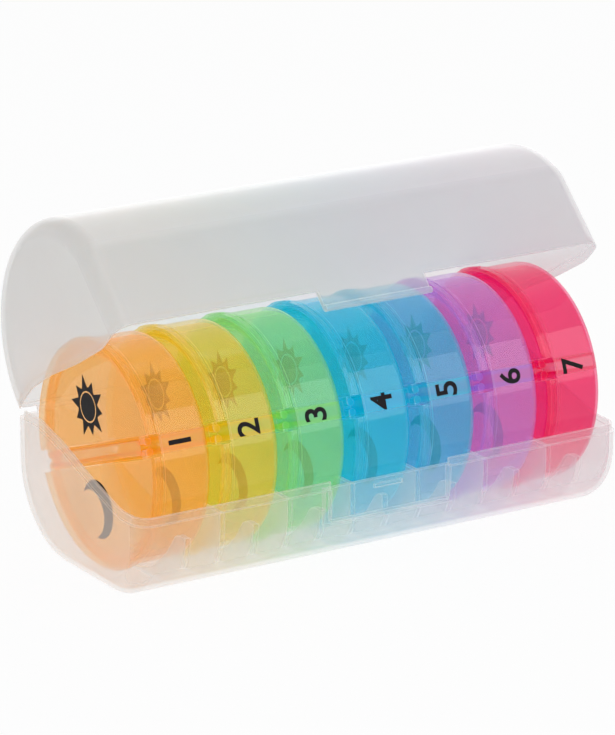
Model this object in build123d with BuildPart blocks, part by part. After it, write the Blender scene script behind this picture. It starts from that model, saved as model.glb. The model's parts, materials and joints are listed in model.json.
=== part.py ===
"""Weekly pill organizer: seven round two-compartment pods in a clamshell travel case.

Frame: +X along the case, -Y to the front (latch side), +Z up. The origin is on the flat
underside of the case, straight below the pods' common axis. All sizes are in millimetres.
"""
import math
import os

from build123d import *

# ---- driving dimensions ------------------------------------------------------------------
pod_count = 7
pod_pitch = 20.4
pod_thickness = 17.6
pod_radius = 30.0
pod_axis_z = 32.1
pod_tilt_deg = 19.5          # the front end of every pod's hinge bar sits this much high
pod_wall = 1.2
pod_edge_radius = 2.4

case_length = 150.4
case_shift = -0.9            # the case has a little more room at its left end
front_y = -33.3              # outer faces of the front and back walls
back_y = 32.7
case_wall = 1.2
case_end_radius = 5.0        # rounding of every edge of the two end faces
base_front_radius = 17.4
base_back_radius = 24.4
rim_front_z = 24.6           # height of the parting line along the front
rim_back_z = 37.7            # and along the back
lap_height = 2.1             # the lid's skirt overlaps the base's upstand by about this much
lap_gap = 0.25

lid_radius = 33.6
lid_centre = (-1.4, 35.7)    # (y, z) of the barrel's centre line, lid closed
lid_shoulder_radius = 10.0
lid_open_deg = 45.6          # how far the lid stands open at rest

hinge_y = 32.0
hinge_z = 35.8
hinge_bead_radius = 0.45

latch_width = 36.8
tab_width = 32.8

half_length = case_length / 2
end_plane = Plane.YZ.offset(case_shift)
far = 200.0                  # larger than anything here, for trimming blocks

# the parting line seen from the end, front to back, as (y, z) corners before rounding
parting_corners = [
    (-far, rim_front_z),
    (-22.5, rim_front_z),
    (-8.0, 28.8),
    (7.0, 34.2),
    (19.0, 37.3),
    (far, rim_back_z),
]
parting_radii = [16.0, 22.0, 22.0, 22.0]


def area_below(raised):
    """Block that fills everything under the parting line, raised by the given amount."""
    corners = [(y, z + raised) for y, z in parting_corners]
    with BuildPart() as block:
        with BuildSketch(Plane.YZ):
            with BuildLine():
                FilletPolyline(*corners, radius=parting_radii)
                Polyline(corners[-1], (far, -far), (-far, -far), corners[0])
            make_face()
        extrude(amount=far, both=True)
    return block.part


def base_block(inset):
    """The base's outer form, shrunk by inset, running up past the parting line."""
    top = 60.0
    with BuildPart() as block:
        with BuildSketch(end_plane):
            with Locations((front_y + inset, inset)):
                Rectangle(back_y - front_y - 2 * inset, top, align=Align.MIN)
            corners = vertices().group_by(Axis.Y)[0].sort_by(Axis.X)
            fillet(corners[0], base_front_radius - inset)
            corners = vertices().group_by(Axis.Y)[0].sort_by(Axis.X)
            fillet(corners[-1], base_back_radius - inset)
        extrude(amount=half_length - inset, both=True)
        ends = edges().filter_by(Plane.YZ)
        fillet(ends, case_end_radius - inset)
    return block.part


def lid_block(inset):
    """The closed lid's outer form, shrunk by inset, running down past the parting line."""
    low = 5.0
    front = front_y + inset
    back = lid_centre[0] + lid_radius - inset
    with BuildPart() as block:
        with BuildSketch(end_plane):
            with Locations(lid_centre):
                Circle(lid_radius - inset)
            with Locations(((front + back) / 2, low)):
                Rectangle(back - front, lid_centre[1] - low, align=(Align.CENTER, Align.MIN))
            with Locations((front, low)):
                Rectangle(far, far, align=(Align.MIN, Align.MIN), mode=Mode.INTERSECT)
            shoulder = vertices().group_by(Axis.X)[0].sort_by(Axis.Y)[-1]
            fillet(shoulder, lid_shoulder_radius)
        extrude(amount=half_length - inset, both=True)
        ends = edges().filter_by(Plane.YZ)
        fillet(ends, case_end_radius - inset)
    return block.part


# ---- case base ---------------------------------------------------------------------------
recess_depth = 1.9           # the latch panel stands back from the front wall
recess_low_z = 13.6
recess_rim_z = 22.5
panel_y = front_y + recess_depth
catch_width = 8.6
catch_z = 20.2
catch_height = 1.0
catch_reach = 0.7

rib_thickness = 1.5
rib_top_z = 17.0
horn_radius = 3.5            # rounding of the ribs' two upper ends
divider_thickness = 1.2
divider_top_z = 22.0
divider_dip_radius = 25.0
cradle_radius = 31.05

upstand_back_y = 27.5
base_back_top_z = 34.9       # the back wall ends here, under the hinge web

with BuildPart() as base_upstand:
    add(base_block(case_wall / 2))
    add(base_block(case_wall), mode=Mode.SUBTRACT)
    add(area_below(0), mode=Mode.INTERSECT)
    # it ends before the hinge, where the lid's skirt comes down steeply
    with Locations((0, upstand_back_y, 0)):
        Box(far, far, far, align=(Align.CENTER, Align.MIN, Align.CENTER), mode=Mode.SUBTRACT)


def rib_section(top_z):
    """Sketch of a plate that fills the base's section up to top_z, in the current plane."""
    bite = case_wall / 2     # how far a rib runs into the wall it grows from
    with Locations((front_y + bite, bite)):
        Rectangle(back_y - front_y - 2 * bite, back_y - front_y, align=Align.MIN)
    corners = vertices().group_by(Axis.Y)[0].sort_by(Axis.X)
    fillet(corners[0], base_front_radius - bite)
    corners = vertices().group_by(Axis.Y)[0].sort_by(Axis.X)
    fillet(corners[-1], base_back_radius - bite)
    Rectangle(far, 2 * top_z, mode=Mode.INTERSECT)


pod_centres = [(n - (pod_count - 1) / 2) * pod_pitch for n in range(pod_count)]

with BuildPart() as case_base:
    add(base_block(0))
    add(base_block(case_wall), mode=Mode.SUBTRACT)
    add(area_below(-lap_height), mode=Mode.INTERSECT)
    add(base_upstand.part)
    # a pad behind the front wall, thick enough for the latch recess
    pad_depth = recess_depth + case_wall
    pad_bite = 0.6
    with Locations((0, front_y + pad_bite, recess_low_z - case_wall)):
        Box(latch_width + 2 * case_wall, pad_depth - pad_bite, recess_rim_z - recess_low_z + case_wall,
            align=(Align.CENTER, Align.MIN, Align.MIN))
    # the back wall stops short, to leave room for the hinge web
    with Locations((0, back_y, base_back_top_z)):
        Box(far, 4.4, far, align=(Align.CENTER, Align.CENTER, Align.MIN), mode=Mode.SUBTRACT)
    # a cradle rib under the middle of each pod
    for x in pod_centres:
        with BuildSketch(Plane.YZ.offset(x - rib_thickness / 2)):
            rib_section(rib_top_z)
            with Locations((0, pod_axis_z)):
                Circle(cradle_radius, mode=Mode.SUBTRACT)
            horn_corners = vertices().group_by(Axis.Y)[-1].sort_by(Axis.X)[1:-1]
            fillet(horn_corners, horn_radius)
        extrude(amount=rib_thickness)
    # a dished divider plate between neighbouring pods
    for x in pod_centres[:-1]:
        with BuildSketch(Plane.YZ.offset(x + pod_pitch / 2 - divider_thickness / 2)):
            rib_section(divider_top_z)
            with Locations((0, pod_axis_z)):
                Circle(divider_dip_radius, mode=Mode.SUBTRACT)
        extrude(amount=divider_thickness)
    # the recess cuts the pad and the ends of the ribs, and a catch stands in it
    with Locations((0, panel_y, recess_low_z)):
        Box(latch_width, 10, far, align=(Align.CENTER, Align.MAX, Align.MIN), mode=Mode.SUBTRACT)
    with Locations((0, front_y, recess_rim_z)):
        Box(latch_width, 8, far, align=(Align.CENTER, Align.CENTER, Align.MIN), mode=Mode.SUBTRACT)
    with Locations((0, panel_y, catch_z)):
        Box(catch_width, catch_reach * 2, catch_height, align=(Align.CENTER, Align.CENTER, Align.MIN))
case_base.part.label = "case_base"

# ---- hinge web -----------------------------------------------------------------------------
web_thickness = 0.45
web_length = case_length - 2 * case_end_radius - 4.0

with BuildPart() as hinge_web:
    with Locations((case_shift, hinge_y, base_back_top_z)):
        Box(web_length, web_thickness, hinge_z - base_back_top_z,
            align=(Align.CENTER, Align.CENTER, Align.MIN))
    with BuildSketch(end_plane.offset(-web_length / 2)):
        with Locations((hinge_y, hinge_z)):
            Circle(hinge_bead_radius)
    extrude(amount=web_length)
hinge_web.part.label = "hinge_web"

# ---- case lid, built closed and then swung open ---------------------------------------------
lid_back_low_z = 36.7
skirt_thickness = case_wall / 2 - 0.15
tab_low_z = 17.6
tab_thickness = 1.1
roll_radius = 0.9
hinge_axis = Axis((0, hinge_y, hinge_z), (-1, 0, 0))

with BuildPart() as lid_skirt:
    add(lid_block(0))
    add(lid_block(skirt_thickness), mode=Mode.SUBTRACT)
    add(area_below(-lap_height + lap_gap), mode=Mode.SUBTRACT)
    add(area_below(case_wall), mode=Mode.INTERSECT)

with BuildPart() as case_lid:
    add(lid_block(0))
    add(lid_block(case_wall), mode=Mode.SUBTRACT)
    add(area_below(lap_gap), mode=Mode.SUBTRACT)
    add(lid_skirt.part)
    # room for the hinge, then the lid's own half of the web
    with Locations((0, back_y, lid_back_low_z)):
        Box(far, 6.0, 12, align=(Align.CENTER, Align.CENTER, Align.MAX), mode=Mode.SUBTRACT)
    web_low_z = hinge_z + hinge_bead_radius + 0.06
    with Locations((case_shift, hinge_y, web_low_z)):
        Box(web_length, web_thickness, lid_back_low_z - web_low_z + 0.3,
            align=(Align.CENTER, Align.CENTER, Align.MIN))
    # latch tab with a rolled finger edge and a bead that snaps under the base's catch
    with Locations((0, front_y, tab_low_z)):
        Box(tab_width, tab_thickness, rim_front_z + 1.5 - tab_low_z,
            align=(Align.CENTER, Align.MIN, Align.MIN))
    with BuildSketch(Plane.YZ.offset(-tab_width / 2)):
        with Locations((front_y + 0.1, tab_low_z)):
            Circle(roll_radius)
    extrude(amount=tab_width)
    with Locations((0, front_y + tab_thickness, catch_z - 1.6)):
        Box(catch_width, 1.2, 1.0, align=(Align.CENTER, Align.CENTER, Align.MIN))
case_lid_open = case_lid.part.rotate(hinge_axis, lid_open_deg)
case_lid_open.label = "case_lid"

# ---- pods ----------------------------------------------------------------------------------
# In a pod's own plane, z runs from its left face (0) to its right face, x runs along the
# hinge bar towards the back, and y runs up, so that the morning half is at y > 0.
lid_depth = 2.3              # how far a flip lid's skirt wraps round the pod
lid_plate = 1.2
lid_outer_radius = 30.4
lid_seam = 0.3
neck_radius = 28.6
neck_wall = 1.0
ridge_radius = 30.4
ridge_width = 0.9
divide_thickness = 2.8       # the wall between the morning and evening halves
bar_width = 5.4
bar_half_length = 24.3
bar_top = 0.4
bar_low = 2.9
pin_offset = 1.35            # hinge pins lie this far either side of the bar's middle
pin_depth = 1.45
pin_radius = 0.6
pin_bore_radius = 0.66
pin_length = 2.2
lug_radius = 1.05
lug_thickness = 2.2
lug_start = 24.6
tab_radius = 30.7

seam_z = lid_depth + lid_seam


def pod_plane(x_centre):
    """Left face of a pod, with its x axis along the tilted hinge bar."""
    tilt = math.radians(pod_tilt_deg)
    return Plane(
        origin=(x_centre - pod_thickness / 2, 0, pod_axis_z),
        x_dir=(0, math.cos(tilt), -math.sin(tilt)),
        z_dir=(1, 0, 0),
    )


def pod_cup(plane):
    """Round cup with a closed right end, a wall across it and the bar that carries the lids."""
    with BuildPart() as cup:
        with BuildSketch(plane.offset(seam_z)):
            Circle(pod_radius)
        extrude(amount=pod_thickness - seam_z)
        right_edge = edges().filter_by(GeomType.CIRCLE).sort_by(Axis.X)[-1]
        fillet(right_edge, pod_edge_radius)
        # the ridge at the seam and the neck that the lids close over
        with BuildSketch(plane.offset(seam_z)):
            Circle(ridge_radius)
        extrude(amount=ridge_width)
        with BuildSketch(plane.offset(lid_plate + lid_seam)):
            Circle(neck_radius)
        extrude(amount=seam_z)
        # the two compartments
        with BuildSketch(plane.offset(seam_z + ridge_width)):
            Circle(pod_radius - pod_wall)
            Rectangle(far, divide_thickness, mode=Mode.SUBTRACT)
        extrude(amount=pod_thickness - pod_wall - seam_z - ridge_width, mode=Mode.SUBTRACT)
        with BuildSketch(plane.offset(lid_plate)):
            Circle(neck_radius - neck_wall)
            Rectangle(far, bar_width, mode=Mode.SUBTRACT)
        extrude(amount=seam_z + ridge_width, mode=Mode.SUBTRACT)
        # the space over the bar's base, out to the notches in the rim
        with BuildSketch(plane):
            Rectangle(far, bar_width + 0.6)
        extrude(amount=bar_low, mode=Mode.SUBTRACT)
        with BuildSketch(plane.offset(bar_top)):
            Rectangle(2 * bar_half_length, bar_width)
        extrude(amount=bar_low - bar_top)
        bar_edges = edges().filter_by(lambda e: e.length > 2 * bar_half_length - 1)
        bar_edges = bar_edges.group_by(Axis.X)[0]
        chamfer(bar_edges, 0.8)
        # blind bores for the lids' pins, in both ends of the bar
        for end in (-1, 1):
            side = Plane(
                origin=plane.from_local_coords(Vector(end * (bar_half_length + 0.1), 0, 0)),
                x_dir=plane.z_dir,
                z_dir=plane.x_dir * -end,
            )
            with BuildSketch(side):
                with Locations((pin_depth, pin_offset), (pin_depth, -pin_offset)):
                    Circle(pin_bore_radius)
            extrude(amount=pin_length + 0.5, mode=Mode.SUBTRACT)
    return cup.part


def flip_lid(plane, up):
    """D-shaped lid of one half: up is 1 for the morning lid and -1 for the evening lid."""
    edge_y = bar_width / 2 + 0.25
    half = Location((0, up * (edge_y + far / 2)))
    with BuildPart() as lid:
        with BuildSketch(plane):
            Circle(lid_outer_radius)
            with Locations(half):
                Rectangle(far, far, mode=Mode.INTERSECT)
        extrude(amount=lid_depth)
        rim = edges().filter_by(GeomType.CIRCLE).sort_by(Axis.X)[0]
        chamfer(rim, 0.7)
        # hollow it to a thin plate with a skirt outside the neck and a seal ring inside
        with BuildSketch(plane.offset(lid_plate)):
            Circle(neck_radius + lid_seam)
            Circle(neck_radius - neck_wall - lid_seam, mode=Mode.SUBTRACT)
            with Locations(half):
                Rectangle(2 * far, far, mode=Mode.INTERSECT)
        extrude(amount=lid_depth, mode=Mode.SUBTRACT)
        with BuildSketch(plane.offset(lid_plate)):
            Circle(neck_radius - neck_wall - lid_seam - 0.8)
        extrude(amount=lid_depth, mode=Mode.SUBTRACT)
        # thumb tab at the middle of the arc
        with BuildSketch(plane.offset(lid_plate)):
            Circle(tab_radius)
            Circle(neck_radius + lid_seam, mode=Mode.SUBTRACT)
            with Locations((0, up * tab_radius)):
                Rectangle(9.0, 8.0, mode=Mode.INTERSECT)
        extrude(amount=lid_depth - lid_plate)
        # two lugs that reach round the bar's ends, with the hinge pins on them
        for end in (-1, 1):
            side = Plane(
                origin=plane.from_local_coords(Vector(end * lug_start, 0, 0)),
                x_dir=plane.z_dir,
                z_dir=plane.x_dir * end,
            )
            hand = side.y_dir.dot(plane.y_dir)
            reach = 2.6
            with BuildSketch(side):
                with Locations((pin_depth, hand * up * pin_offset)):
                    Circle(lug_radius)
                with Locations((pin_depth - lug_radius + 0.7, hand * up * (pin_offset + reach / 2))):
                    Rectangle(1.4, reach)
            extrude(amount=lug_thickness)
            with BuildSketch(side):
                with Locations((pin_depth, hand * up * pin_offset)):
                    Circle(pin_radius)
            extrude(amount=-pin_length)
    return lid.part


os.makedirs("parts", exist_ok=True)
export_step(case_base.part, "parts/case_base.step")
export_step(hinge_web.part, "parts/hinge_web.step")
export_step(case_lid_open, "parts/case_lid.step")

for number, x_centre in enumerate(pod_centres, start=1):
    place = pod_plane(x_centre)
    pieces = {
        "cup": pod_cup(place),
        "am_lid": flip_lid(place, 1),
        "pm_lid": flip_lid(place, -1),
    }
    for piece, solid in pieces.items():
        name = f"pod_{number}_{piece}"
        solid.label = name
        export_step(solid, f"parts/{name}.step")
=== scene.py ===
# %% [markdown]
# # A weekly pill organizer in milky and tinted plastic
#
# Seven round pods stand in a row in a clamshell case. The case is polypropylene, which
# scatters light and veils what lies behind it. The pods are clear tinted polystyrene, glossy
# and see-through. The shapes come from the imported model, so most of the work here is to make
# two kinds of see-through plastic, print the lids, and light everything like a product photo.

# %% Load the frame
import math

import bmesh
import bpy
import json
import numpy as np
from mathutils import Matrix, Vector


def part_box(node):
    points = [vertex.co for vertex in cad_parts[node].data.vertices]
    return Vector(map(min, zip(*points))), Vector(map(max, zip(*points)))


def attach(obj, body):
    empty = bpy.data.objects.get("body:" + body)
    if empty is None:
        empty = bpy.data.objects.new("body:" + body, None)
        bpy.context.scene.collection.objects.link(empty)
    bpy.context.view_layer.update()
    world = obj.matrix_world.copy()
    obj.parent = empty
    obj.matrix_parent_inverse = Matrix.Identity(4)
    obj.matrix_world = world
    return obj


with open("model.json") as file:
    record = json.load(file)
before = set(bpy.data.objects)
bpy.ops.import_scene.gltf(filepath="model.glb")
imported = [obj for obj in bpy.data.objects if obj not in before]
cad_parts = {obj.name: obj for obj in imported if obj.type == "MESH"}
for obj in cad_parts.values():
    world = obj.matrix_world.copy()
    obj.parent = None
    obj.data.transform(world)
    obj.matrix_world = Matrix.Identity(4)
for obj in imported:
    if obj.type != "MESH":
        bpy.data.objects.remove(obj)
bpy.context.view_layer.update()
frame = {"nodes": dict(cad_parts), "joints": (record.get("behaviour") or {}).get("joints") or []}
joints = {joint["name"]: joint for joint in frame["joints"]}

# %% [markdown]
# ## Where the pods are
#
# Each pod turns on one long axis, and its morning lid is hinged along a tilted bar. The
# joints say where both are, so the prints can be placed from them and need no measuring.

# %% Read the pods' axis and tilt from the joints
mm = 0.001
pod_numbers = range(1, 8)
pod_names = ["orange", "yellow", "green", "azure", "turquoise", "lavender", "pink"]
axis_z = joints["pod_1_roll"]["pos_m"][2]
bar_direction = Vector(joints["pod_1_pm_flip"]["axis"]).normalized()   # towards the back
up_direction = Vector((1, 0, 0)).cross(bar_direction)
pod_left = {n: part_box(f"pod_{n}_am_lid")[0][0] for n in pod_numbers}
pod_right = {n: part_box(f"pod_{n}_cup")[1][0] for n in pod_numbers}
cup_radius = 30.0 * mm
print("bar tilt:", round(math.degrees(math.atan2(-bar_direction.z, bar_direction.y)), 1))


def pod_point(n, along_bar, up, depth):
    """A point of pod n: along the bar towards the back, up, and depth right of its left face."""
    origin = Vector((pod_left[n] + depth, 0, axis_z))
    return origin + bar_direction * along_bar + up_direction * up


# %% [markdown]
# ## The camera
#
# The photograph was taken with a long lens from the front left, a little above the case. A
# long lens keeps the far pods almost as large as the near ones.

# %% Camera
image_size = (615, 735)
camera_place = Vector((-0.5850, -0.9163, 0.3835))
azimuth, elevation = math.radians(-32.9), math.radians(17.85)
focal_px = 4282.0
framing_px = (40.1, 37.7)    # where the fitted view's centre lies from the picture's

back = Vector((
    math.sin(azimuth) * math.cos(elevation),
    -math.cos(azimuth) * math.cos(elevation),
    math.sin(elevation),
))
right = Vector((0, 0, 1)).cross(back).normalized()
upward = back.cross(right)
# the view's centre is right of and below the picture's, so the camera turns the other way
aim = -back * focal_px - right * framing_px[0] + upward * framing_px[1]
camera_data = bpy.data.cameras.new("photo_camera")
camera = bpy.data.objects.new("photo_camera", camera_data)
bpy.context.collection.objects.link(camera)
camera.location = camera_place
camera.rotation_mode = "QUATERNION"
camera.rotation_quaternion = aim.to_track_quat("-Z", "Y")
camera_data.sensor_width = 36.0
camera_data.lens = focal_px / max(image_size) * camera_data.sensor_width
camera_data.clip_start, camera_data.clip_end = 0.01, 50.0
bpy.context.scene.camera = camera
print("lens:", round(camera_data.lens, 1), "mm")

# %% [markdown]
# ## Floor and light
#
# The photograph has a pure white ground. The lamps stay at a plain level, and the white comes
# from what a ray sees: the camera's rays, mirrored rays and rays through clear plastic meet
# white, and the soft light between surfaces meets a dimmer room. The floor glows for the same
# rays and keeps a faint part of the real shadow, where the photograph's ground shows none.

# %% Helpers for node trees
scene = bpy.context.scene
scene.view_settings.view_transform = "Standard"
clear_faces_in_a_row = 48    # a view through seven pods and the case passes this many faces
scene.cycles.transparent_max_bounces = clear_faces_in_a_row


def node_maker(tree):
    """Short way to add a node: make(kind, input=value or socket, ...); i1 is input number 1."""
    def make(kind, **inputs):
        node = tree.nodes.new(kind)
        for key, value in inputs.items():
            key = int(key[1:]) if key[0] == "i" and key[1:].isdigit() else key.replace("_", " ")
            socket = node.inputs[key]
            if isinstance(value, bpy.types.NodeSocket):
                tree.links.new(value, socket)
            else:
                socket.default_value = value
        return node
    return make


def math_node(make, operation, a, b=0.0, c=0.0):
    """One Math node's result."""
    node = make("ShaderNodeMath", i0=a, i1=b, i2=c)
    node.operation = operation
    return node.outputs[0]


def sees_white(make):
    """1 for the rays that show the ground itself: the camera's, mirrored and clear ones."""
    path = make("ShaderNodeLightPath").outputs
    sharp = math_node(make, "MAXIMUM", path["Is Glossy Ray"], path["Is Transmission Ray"])
    sharp = math_node(make, "MAXIMUM", sharp, path["Is Camera Ray"])
    not_soft = math_node(make, "SUBTRACT", 1.0, path["Is Diffuse Ray"])
    return math_node(make, "MULTIPLY", sharp, not_soft)


print("a view may pass", clear_faces_in_a_row, "clear faces")

# %% World
room_tone, room_strength = (0.95, 0.97, 1.0, 1), 0.51
window_direction = Vector((0.51, 0.65, 0.56)).normalized()   # high at the back, to the right
window_strength = 0.6
window_edge, window_heart = 0.78, 0.92    # cosines of the angles where the glare starts and is full


def window_glare(make):
    """How much brighter than white the room is towards a high window, for mirrored rays only."""
    direction = make("ShaderNodeTexCoord").outputs["Generated"]
    towards = make("ShaderNodeVectorMath", i0=direction, i1=tuple(window_direction))
    towards.operation = "DOT_PRODUCT"
    patch = make("ShaderNodeMapRange", Value=towards.outputs["Value"],
                 i1=window_edge, i2=window_heart, i4=window_strength)
    mirrored = make("ShaderNodeLightPath").outputs["Is Glossy Ray"]
    return math_node(make, "MULTIPLY_ADD", patch.outputs[0], mirrored, 1.0)


world = bpy.data.worlds.new("studio")
scene.world = world
world.use_nodes = True
world.node_tree.nodes.clear()
make = node_maker(world.node_tree)
room_light = make("ShaderNodeBackground", Color=room_tone, Strength=room_strength)
white_ground = make("ShaderNodeBackground", Color=(1, 1, 1, 1), Strength=window_glare(make))
seen = make("ShaderNodeMixShader", Fac=sees_white(make), i1=room_light.outputs[0],
            i2=white_ground.outputs[0])
make("ShaderNodeOutputWorld", Surface=seen.outputs[0])
print("room strength:", room_strength)

# %% Floor
floor_half = 6.0
floor_drop = 0.2 * mm        # the floor lies this far under the case, so the two never flicker
shadow_left = 0.95           # share of the floor's colour that the shadow doesn't reach
floor_material = bpy.data.materials.new("white_ground")
floor_material.use_nodes = True
floor_material.node_tree.nodes.clear()
make = node_maker(floor_material.node_tree)
matte = make("ShaderNodeBsdfDiffuse", Color=(0.86, 0.86, 0.86, 1))
glow = make("ShaderNodeEmission", Color=(1, 1, 1, 1), Strength=1.0)
share = math_node(make, "MULTIPLY", sees_white(make), shadow_left)
ground = make("ShaderNodeMixShader", Fac=share, i1=matte.outputs[0], i2=glow.outputs[0])
make("ShaderNodeOutputMaterial", Surface=ground.outputs[0])

floor_mesh = bpy.data.meshes.new("floor")
corners = floor_half * np.array([(-1, -1, 0), (1, -1, 0), (1, 1, 0), (-1, 1, 0)], float)
floor_mesh.from_pydata((corners - (0, 0, floor_drop)).tolist(), [], [(0, 1, 2, 3)])
floor = bpy.data.objects.new("floor", floor_mesh)
bpy.context.collection.objects.link(floor)
floor_mesh.materials.append(floor_material)
print("floor:", 2 * floor_half, "m wide")

# %% [markdown]
# A tall softbox stands at the front right, where its reflection crosses the front of all pods
# as one band. A wide one hangs above for the bright top of the lid, and a small one at the left
# lights the pods' printed faces. Softboxes are area lamps: their size sets how soft the light is.


# %% Softboxes
def softbox(name, place, size, power):
    """A rectangular lamp at place from the pods' middle, facing it, size = (width, height) in metres."""
    data = bpy.data.lights.new(name, "AREA")
    data.shape = "RECTANGLE"
    data.size, data.size_y = size
    data.energy = power
    lamp = bpy.data.objects.new(name, data)
    bpy.context.collection.objects.link(lamp)
    lamp.location = middle + Vector(place)
    lamp.rotation_mode = "QUATERNION"
    lamp.rotation_quaternion = (middle - lamp.location).to_track_quat("-Z", "Y")


middle = Vector((0, 0, axis_z))
softbox("front_softbox", (0.62, -0.97, 0.48), (0.80, 0.95), 3.7)
softbox("top_softbox", (0.05, -0.05, 1.10), (1.3, 0.50), 2.4)
softbox("left_softbox", (-1.15, -0.35, 0.45), (0.6, 0.6), 1.5)
print("lamps:", [lamp.name for lamp in bpy.data.lights])

# %% [markdown]
# ## Tinted polystyrene for the pods
#
# Clear tinted plastic colours the light at every wall it passes. Real refraction would need
# many bounces and would hide the prints, so each surface is a mix: part of the light goes
# straight through and is tinted, part meets a soft body colour. Where the wall is seen edge-on
# or stands double, as along the bar across the pod, the colour is deeper. A thin film of
# gloss lies over the outer faces. Along moulded edges a lighter colour is painted in: a painted
# highlight that stands in for the gleam of the rounded edges.


# %% Helpers for see-through plastic
def see_through(name):
    """An empty material and its node maker."""
    material = bpy.data.materials.new(name)
    material.use_nodes = True
    material.node_tree.nodes.clear()
    return material, node_maker(material.node_tree)


def outward_face(make):
    """1 on faces seen from outside and 0 on faces seen from within the plastic."""
    return math_node(make, "SUBTRACT", 1.0, make("ShaderNodeNewGeometry").outputs["Backfacing"])


def mix_color(make, factor, a, b):
    """Colour a where factor is 0 and b where it is 1."""
    node = make("ShaderNodeMix")
    node.data_type = "RGBA"
    links = node.id_data.links
    for socket, value in ((node.inputs[0], factor), (node.inputs[6], a), (node.inputs[7], b)):
        if isinstance(value, bpy.types.NodeSocket):
            links.new(value, socket)
        else:
            socket.default_value = value
    return node.outputs[2]


gloss_index = 1.45


def gloss_over(make, body, roughness, normal):
    """The body shader under a clear gloss that shows on outward faces only."""
    fresnel = make("ShaderNodeFresnel", IOR=gloss_index, Normal=normal)
    amount = math_node(make, "MULTIPLY", fresnel.outputs[0], outward_face(make))
    gloss = make("ShaderNodeBsdfGlossy", Color=(1, 1, 1, 1), Roughness=roughness, Normal=normal)
    return make("ShaderNodeMixShader", Fac=amount, i1=body, i2=gloss.outputs[0]).outputs[0]


def ripple(make, scale, strength, distance):
    """The slight unevenness of a moulded face, as a bump."""
    place = make("ShaderNodeTexCoord").outputs["Object"]
    noise = make("ShaderNodeTexNoise", Vector=place, Scale=scale, Detail=2.0, Roughness=0.5)
    bump = make("ShaderNodeBump", Height=noise.outputs[0], Strength=strength, Distance=distance)
    return bump.outputs[0]


shade_per_face = 0.02        # how much of the tint lamplight takes on at a face


def light_shadow(make, surface, tint):
    """Lets lamps shine through: shadow rays meet only a faint pane, which is also quick."""
    faint = tuple(1 - shade_per_face * (1 - channel) for channel in tint)
    pane = make("ShaderNodeBsdfTransparent", Color=(*faint, 1))
    shadow = make("ShaderNodeLightPath").outputs["Is Shadow Ray"]
    return make("ShaderNodeMixShader", Fac=shadow, i1=surface, i2=pane.outputs[0]).outputs[0]


edge_start, edge_full = 0.97, 0.80    # cosines of the turn where an edge starts to show and is full


def edge_line(make, width):
    """1 along sharp edges and 0 elsewhere: how far a rounded normal turns from the face's own."""
    rounded = make("ShaderNodeBevel", Radius=width)
    rounded.samples = 2
    own = make("ShaderNodeNewGeometry").outputs["Normal"]
    turned = make("ShaderNodeVectorMath", i0=rounded.outputs[0], i1=own)
    turned.operation = "DOT_PRODUCT"
    line = make("ShaderNodeMapRange", Value=turned.outputs["Value"], i1=edge_start, i2=edge_full)
    return line.outputs[0]


print("gloss index:", gloss_index)

# %% Pod plastic
wall_half = 2.1 * mm         # half the width over which the wall across a pod looks deeper
wall_soft = 0.35 * mm
wall_depth = 0.45
# rim_width and rim_veil shape a painted highlight along moulded edges: its width, and how opaque the
# wall is made there so that the lighter colour shows
rim_width = 0.35 * mm        # of the light line along a moulded edge
rim_veil = 0.5
edge_blend, edge_power = 0.35, 2.2
tint_per_wall = 0.5          # how much a view through an edge-on or double wall is tinted
face_opacity, edge_on_gain = 0.20, 0.5
pod_glow_share = 0.45        # share of the body's light that comes through from behind
pod_roughness = 0.06


def in_the_wall(make):
    """1 within wall_half of the plane that splits a pod in two, fading to 0 over wall_soft."""
    place = make("ShaderNodeTexCoord").outputs["Object"]
    shifted = make("ShaderNodeVectorMath", i0=place, i1=(0, 0, axis_z))
    shifted.operation = "SUBTRACT"
    across = make("ShaderNodeVectorMath", i0=shifted.outputs[0], i1=tuple(up_direction))
    across.operation = "DOT_PRODUCT"
    away = math_node(make, "ABSOLUTE", across.outputs["Value"])
    return make("ShaderNodeMapRange", Value=away, i1=wall_half + wall_soft, i2=wall_half).outputs[0]


def pod_plastic(name, tint, deep, filtered):
    """Tinted clear plastic: tint where it is thin, deep where it is seen edge-on or double."""
    material, make = see_through(name)
    edge = make("ShaderNodeLayerWeight", Blend=edge_blend).outputs["Facing"]
    edge = math_node(make, "POWER", edge, edge_power)
    depth = math_node(make, "MULTIPLY", in_the_wall(make), wall_depth)
    depth = math_node(make, "MAXIMUM", depth, edge)
    body_color = mix_color(make, depth, (*tint, 1), (*deep, 1))
    passing = tuple(1 - filtered * (1 - channel) for channel in tint)
    deep_passing = tuple(1 - tint_per_wall * (1 - channel / max(deep)) for channel in deep)
    passing_color = mix_color(make, depth, (*passing, 1), (*deep_passing, 1))
    through = make("ShaderNodeBsdfTransparent", Color=passing_color)
    normal = ripple(make, 55.0, 0.25, 0.0004)
    # painted highlight: along moulded edges, on outward faces, the body colour is lightened and the wall
    # made more opaque
    line = math_node(make, "MULTIPLY", edge_line(make, rim_width), outward_face(make))
    painted_rim_highlight = tuple(0.35 + 0.6 * channel for channel in deep)
    body_color = mix_color(make, line, body_color, (*painted_rim_highlight, 1))
    body = make("ShaderNodeBsdfDiffuse", Color=body_color, Normal=normal)
    glow = make("ShaderNodeBsdfTranslucent", Color=body_color)
    soft = make("ShaderNodeMixShader", Fac=pod_glow_share, i1=body.outputs[0], i2=glow.outputs[0])
    solid = make("ShaderNodeMapRange", Value=depth, i3=face_opacity, i4=face_opacity + edge_on_gain)
    solid = math_node(make, "MAXIMUM", solid.outputs[0], math_node(make, "MULTIPLY", line, rim_veil))
    walls = make("ShaderNodeMixShader", Fac=solid, i1=through.outputs[0], i2=soft.outputs[0])
    surface = gloss_over(make, walls.outputs[0], pod_roughness, normal)
    make("ShaderNodeOutputMaterial", Surface=light_shadow(make, surface, tint))
    return material


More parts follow.
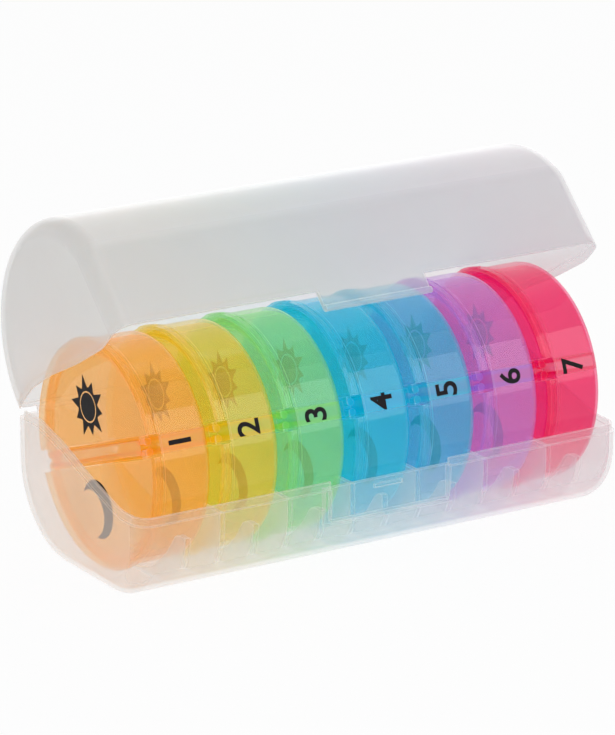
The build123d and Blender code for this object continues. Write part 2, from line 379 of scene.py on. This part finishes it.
# %% Pod colours
# each pod's colour where it is thin, where it is deep, and the share of it that a face filters out
pod_colors = {
    "orange": ((0.98, 0.63, 0.05), (0.98, 0.42, 0.02), 0.20),
    "yellow": ((0.93, 0.76, 0.03), (0.90, 0.68, 0.00), 0.20),
    "green": ((0.42, 0.86, 0.44), (0.30, 0.76, 0.10), 0.20),
    "azure": ((0.00, 0.78, 0.90), (0.00, 0.60, 0.90), 0.38),
    "turquoise": ((0.10, 0.70, 0.86), (0.00, 0.62, 0.72), 0.25),
    "lavender": ((0.80, 0.40, 0.82), (0.46, 0.20, 0.74), 0.22),
    "pink": ((0.98, 0.00, 0.30), (0.80, 0.00, 0.06), 0.42),
}
pod_materials = {}
for n, color_name in zip(pod_numbers, pod_names):
    tint, deep, filtered = pod_colors[color_name]
    pod_materials[n] = pod_plastic(f"{color_name}_polystyrene", tint, deep, filtered)
print("pod plastics:", len(pod_materials))

# %% [markdown]
# ## Milky polypropylene for the case
#
# Unfilled polypropylene is cloudy: light that enters is spread inside it, so the pods behind
# it look pale. The mix has no tint. Its gloss is broader than the pods', as from a lightly
# blasted mould. Edge-on it grows more opaque and its colour is painted nearly white, and light
# lines are painted along its moulded edges: both are painted highlights.


# %% Case plastic
# line_width and line_veil shape a painted highlight along moulded edges; the near-white edge tone below
# is painted there and where the plastic is seen edge-on
line_width = 0.55 * mm       # of the light line along a moulded edge
line_veil = 0.75
case_edge_blend, case_edge_power = 0.30, 1.8
painted_edge_highlight_tone = (0.97, 0.97, 0.97, 1)
case_passing = (0.985, 0.985, 0.985, 1)
case_shade = (0.6, 0.6, 0.6)
cloud_depth = 0.03           # how far the cloudiness varies about its mean
case_glow_share = 0.5
case_roughness = 0.30


def case_plastic(name, body_tone, opacity, edge_opacity):
    """Cloudy plastic of one tone, with its opacity face-on and edge-on."""
    material, make = see_through(name)
    edge = make("ShaderNodeLayerWeight", Blend=case_edge_blend).outputs["Facing"]
    edge = math_node(make, "POWER", edge, case_edge_power)
    cloud = make("ShaderNodeTexNoise", Vector=make("ShaderNodeTexCoord").outputs["Object"],
                 Scale=28.0, Detail=2.0, Roughness=0.55)
    cloudy = make("ShaderNodeMapRange", Value=cloud.outputs[0], i3=-cloud_depth, i4=cloud_depth)
    veil = make("ShaderNodeMapRange", Value=edge, i3=opacity, i4=edge_opacity)
    veil = math_node(make, "ADD", veil.outputs[0], cloudy.outputs[0])
    line = edge_line(make, line_width)
    veil = math_node(make, "MAXIMUM", veil, math_node(make, "MULTIPLY", line, line_veil))
    # painted highlight: edge-on and along moulded edges the colour is mixed towards near white
    light = math_node(make, "MAXIMUM", edge, line)
    tone = mix_color(make, light, (*body_tone, 1), painted_edge_highlight_tone)
    normal = ripple(make, 120.0, 0.2, 0.0002)
    through = make("ShaderNodeBsdfTransparent", Color=case_passing)
    body = make("ShaderNodeBsdfDiffuse", Color=tone, Normal=normal)
    glow = make("ShaderNodeBsdfTranslucent", Color=tone)
    soft = make("ShaderNodeMixShader", Fac=case_glow_share, i1=body.outputs[0], i2=glow.outputs[0])
    walls = make("ShaderNodeMixShader", Fac=veil, i1=through.outputs[0], i2=soft.outputs[0])
    surface = gloss_over(make, walls.outputs[0], case_roughness, normal)
    make("ShaderNodeOutputMaterial", Surface=light_shadow(make, surface, case_shade))
    return material


milky = {
    "case_base": case_plastic("milky_polypropylene_base", (0.80, 0.80, 0.80), 0.17, 0.55),
    # the lid's tone is a little darker than the base's, though both are one plastic: painted shade
    "case_lid": case_plastic("milky_polypropylene_lid", (0.75, 0.75, 0.76), 0.28, 0.70),
}
milky["hinge_web"] = milky["case_base"]
print("case plastics:", [material.name for material in milky.values()])


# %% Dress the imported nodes
def dress(node, material):
    """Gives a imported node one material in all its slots."""
    obj = frame["nodes"][node]
    obj.data.materials.clear()
    obj.data.materials.append(material)


for node, material in milky.items():
    dress(node, material)
for n in pod_numbers:
    for piece in ("cup", "am_lid", "pm_lid"):
        dress(f"pod_{n}_{piece}", pod_materials[n])
print("nodes dressed:", len(milky) + 3 * len(pod_materials))

# %% [markdown]
# ## The prints
#
# The pods are pad-printed in dark ink: a sun on each morning lid, a moon on each evening lid,
# and a mark for the day on the rim. Here the day is a plain number. Each print is a very thin
# solid laid on its face, so it stays crisp at any distance and needs no picture. Suns and moons
# are strips between two curves: a disc between a point and a circle, the sun's crown between a
# circle and its straight-sided rays, the moon between two arcs that meet at its horns.


# %% Ink
def ink_material():
    """Near-black, nearly matte pad-printing ink, a little uneven in tone."""
    material, make = see_through("dark_ink")
    place = make("ShaderNodeTexCoord").outputs["Object"]
    noise = make("ShaderNodeTexNoise", Vector=place, Scale=900.0, Detail=2.0)
    tone = mix_color(make, noise.outputs[0], (0.007, 0.006, 0.007, 1), (0.016, 0.014, 0.016, 1))
    ink = make("ShaderNodeBsdfPrincipled", Base_Color=tone, Roughness=0.45, Specular_IOR_Level=0.08)
    make("ShaderNodeOutputMaterial", Surface=ink.outputs[0])
    return material


ink = ink_material()
ink_height = 0.03 * mm
ink_sink = 0.01 * mm         # how far a print reaches into the face it lies on
print("ink:", ink.name)


# %% Flat surfaces between curves
merge_distance = 1e-7


def arc(radius, angles, centre=(0.0, 0.0)):
    """Points on an arc: centre plus radius times (cosine, sine) of each angle."""
    return np.column_stack([centre[0] + radius * np.cos(angles), centre[1] + radius * np.sin(angles)])


def strip(first, second):
    """The flat surface between two curves: point (u, v) is (1 - v) first(u) + v second(u).

    v is only 0 and 1, so each step along u is one quad, here two triangles.
    """
    count = len(first)
    step = np.arange(count - 1)
    one = np.column_stack([step, step + count, step + 1])
    two = np.column_stack([step + 1, step + count, step + 1 + count])
    return np.vstack([first, second]), np.vstack([one, two])


def joined(*flats):
    """Several flat surfaces as one, with equal points merged and collapsed triangles left out."""
    starts = np.cumsum([0] + [len(points) for points, _ in flats[:-1]])
    points = np.vstack([points for points, _ in flats])
    triangles = np.vstack([start + corners for start, (_, corners) in zip(starts, flats)])
    _, kept, renamed = np.unique(np.round(points / merge_distance), axis=0,
                                 return_index=True, return_inverse=True)
    triangles = renamed.reshape(-1)[triangles]
    a, b, c = triangles.T
    return points[kept], triangles[(a != b) & (b != c) & (c != a)]


def print_solid(name, points, triangles, to_world, body):
    """A flat triangle mesh given its thickness and carried onto the plastic by to_world.

    The top is the flat mesh, the bottom the same turned over, and every edge that only one
    triangle uses gets a wall. to_world turns arrays of x, y and height into points.
    """
    a, b, c = points[triangles].transpose(1, 0, 2)
    turned = np.cross(b - a, c - a) < 0
    triangles = np.where(turned[:, None], triangles[:, ::-1], triangles)
    count = len(points)
    sides = np.vstack([triangles[:, [0, 1]], triangles[:, [1, 2]], triangles[:, [2, 0]]])
    alone = sides[~np.isin(sides @ (count, 1), sides @ (1, count))]
    wall = np.column_stack([alone, alone[:, ::-1] + count])[:, [1, 0, 3, 2]]
    faces = triangles.tolist() + (triangles[:, ::-1] + count).tolist() + wall.tolist()
    x, y = np.vstack([points, points]).T
    height = np.repeat((ink_height, -ink_sink), count)
    mesh = bpy.data.meshes.new(name)
    mesh.from_pydata(to_world(x, y, height).tolist(), [], faces)
    obj = bpy.data.objects.new(name, mesh)
    bpy.context.collection.objects.link(obj)
    mesh.materials.append(ink)
    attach(obj, body)


print("print thickness:", round((ink_height + ink_sink) / mm, 3), "mm")


# %% Suns and moons
sun_disc, sun_ring_in, sun_ring_out = 3.75 * mm, 4.2 * mm, 5.2 * mm
ray_tips = (8.7 * mm, 7.5 * mm)
ray_count = 10
ray_half_angle = math.radians(15.5)
steps_per_ray = 8
sun_centre = (-1.1 * mm, 12.4 * mm)     # along the bar towards the back, and up
moon_centre = (3.6 * mm, -14.2 * mm)


def sun():
    """A disc, and a ring whose outer edge runs along straight-sided rays, long and short in turn.

    Between its foot (radius f, angle w from the ray's middle) and its tip (radius t) a ray's edge
    is a straight line, which in polar form is r(q) = f t sin(w) / (f sin(w - q) + t sin(q)).
    """
    turn = np.linspace(0, 2 * np.pi, 2 * ray_count * steps_per_ray + 1)
    spacing = 2 * np.pi / ray_count
    ray = np.round(turn / spacing).astype(int)
    off = np.abs(turn - ray * spacing) * ray_half_angle / (spacing / 2)
    tip = np.array(ray_tips)[ray % 2]
    q = ray_half_angle - off
    edge = sun_ring_out * tip * math.sin(ray_half_angle) / (
        sun_ring_out * np.sin(q) + tip * np.sin(ray_half_angle - q))
    angles = ray * spacing + np.sign(turn - ray * spacing) * off + np.pi / 2
    disc = strip(arc(0.0, angles), arc(sun_disc, angles))
    crown = strip(arc(sun_ring_in, angles), arc(1.0, angles) * edge[:, None])
    return joined(disc, crown)


moon_radius, moon_bite_radius, moon_bite_shift = 7.8 * mm, 6.3 * mm, 3.6 * mm
moon_turn = math.radians(193)
moon_steps = 64              # points along each of the moon's two arcs


def moon():
    """A crescent: the strip between the outer circle's arc and the biting circle's, horn to horn."""
    # the circles meet where both equations hold, at this distance along the shift
    meet = (moon_radius**2 - moon_bite_radius**2 + moon_bite_shift**2) / (2 * moon_bite_shift)
    horn = math.acos(meet / moon_radius)
    bite_horn = math.acos((meet - moon_bite_shift) / moon_bite_radius)
    outer = arc(moon_radius, np.linspace(horn, 2 * np.pi - horn, moon_steps))
    bite_angles = np.linspace(bite_horn, 2 * np.pi - bite_horn, moon_steps)
    bite = arc(moon_bite_radius, bite_angles, (moon_bite_shift, 0.0))
    cosine, sine = math.cos(moon_turn), math.sin(moon_turn)
    spin = np.array([(cosine, sine), (-sine, cosine)])
    return joined(strip(outer @ spin, bite @ spin))


def on_left_face(n, centre_along, centre_up):
    """Carries flat print points onto pod n's left face, seen upright from outside."""
    def to_world(x, y, height):
        origin = np.array(pod_point(n, centre_along, centre_up, 0.0))
        along = np.array(bar_direction)
        up = np.array(up_direction)
        # seen from the left, the bar's back end is on the left hand
        return origin - np.outer(x, along) + np.outer(y, up) + np.outer(height, (-1, 0, 0))
    return to_world


for n in pod_numbers:
    print_solid(f"pod_{n}_sun_print", *sun(), on_left_face(n, *sun_centre), f"pod_{n}_am")
    print_solid(f"pod_{n}_moon_print", *moon(), on_left_face(n, *moon_centre), f"pod_{n}_pm")
print("sun triangles:", len(sun()[1]), "moon triangles:", len(moon()[1]))

# %% Numbers on the rims
number_height = 6.6 * mm
number_place = 8.7 * mm      # left of the pod's right face
slices = 10                  # cuts along the arc, so that a digit bends with the rim


def number(text):
    """The digit as flat points and triangles, centred, number_height tall, cut into narrow slices."""
    curve = bpy.data.curves.new("digit", "FONT")
    curve.body = text
    curve.offset = 0.018
    curve.resolution_u = 6
    holder = bpy.data.objects.new("digit", curve)
    bpy.context.collection.objects.link(holder)
    bpy.context.view_layer.update()
    flat = bpy.data.meshes.new_from_object(holder)
    bpy.data.objects.remove(holder)
    cutter = bmesh.new()
    cutter.from_mesh(flat)
    bmesh.ops.remove_doubles(cutter, verts=cutter.verts, dist=1e-5)
    for cut in np.linspace(0, 1, slices + 1)[1:-1]:
        everything = cutter.verts[:] + cutter.edges[:] + cutter.faces[:]
        bmesh.ops.bisect_plane(cutter, geom=everything, plane_co=(cut, 0, 0), plane_no=(1, 0, 0))
    bmesh.ops.triangulate(cutter, faces=cutter.faces[:])
    cutter.to_mesh(flat)
    cutter.free()
    corners = np.empty(3 * len(flat.vertices))
    flat.vertices.foreach_get("co", corners)
    triangles = np.empty(3 * len(flat.polygons), int)
    flat.polygons.foreach_get("vertices", triangles)
    bpy.data.meshes.remove(flat)
    points = corners.reshape(-1, 3)[:, :2]
    low, high = points.min(0), points.max(0)
    scale = number_height / (high[1] - low[1])
    return (points - (low + high) / 2) * scale, triangles.reshape(-1, 3)


def on_rim(n):
    """Carries a flat digit onto pod n's rim at the bar's front end, reading upwards."""
    def to_world(x, y, height):
        # reading direction x runs up the rim as an angle; the digit's top points to the left
        angle = x / cup_radius
        radius = cup_radius + height
        front = -np.array(bar_direction)
        up = np.array(up_direction)
        centre = np.array((pod_right[n] - number_place, 0, axis_z))
        ring = np.outer(radius * np.cos(angle), front) + np.outer(radius * np.sin(angle), up)
        return centre + ring + np.outer(-y, (1, 0, 0))
    return to_world


for n in pod_numbers:
    print_solid(f"pod_{n}_number_print", *number(str(n)), on_rim(n), f"pod_{n}")
print("numbers:", len(pod_numbers))
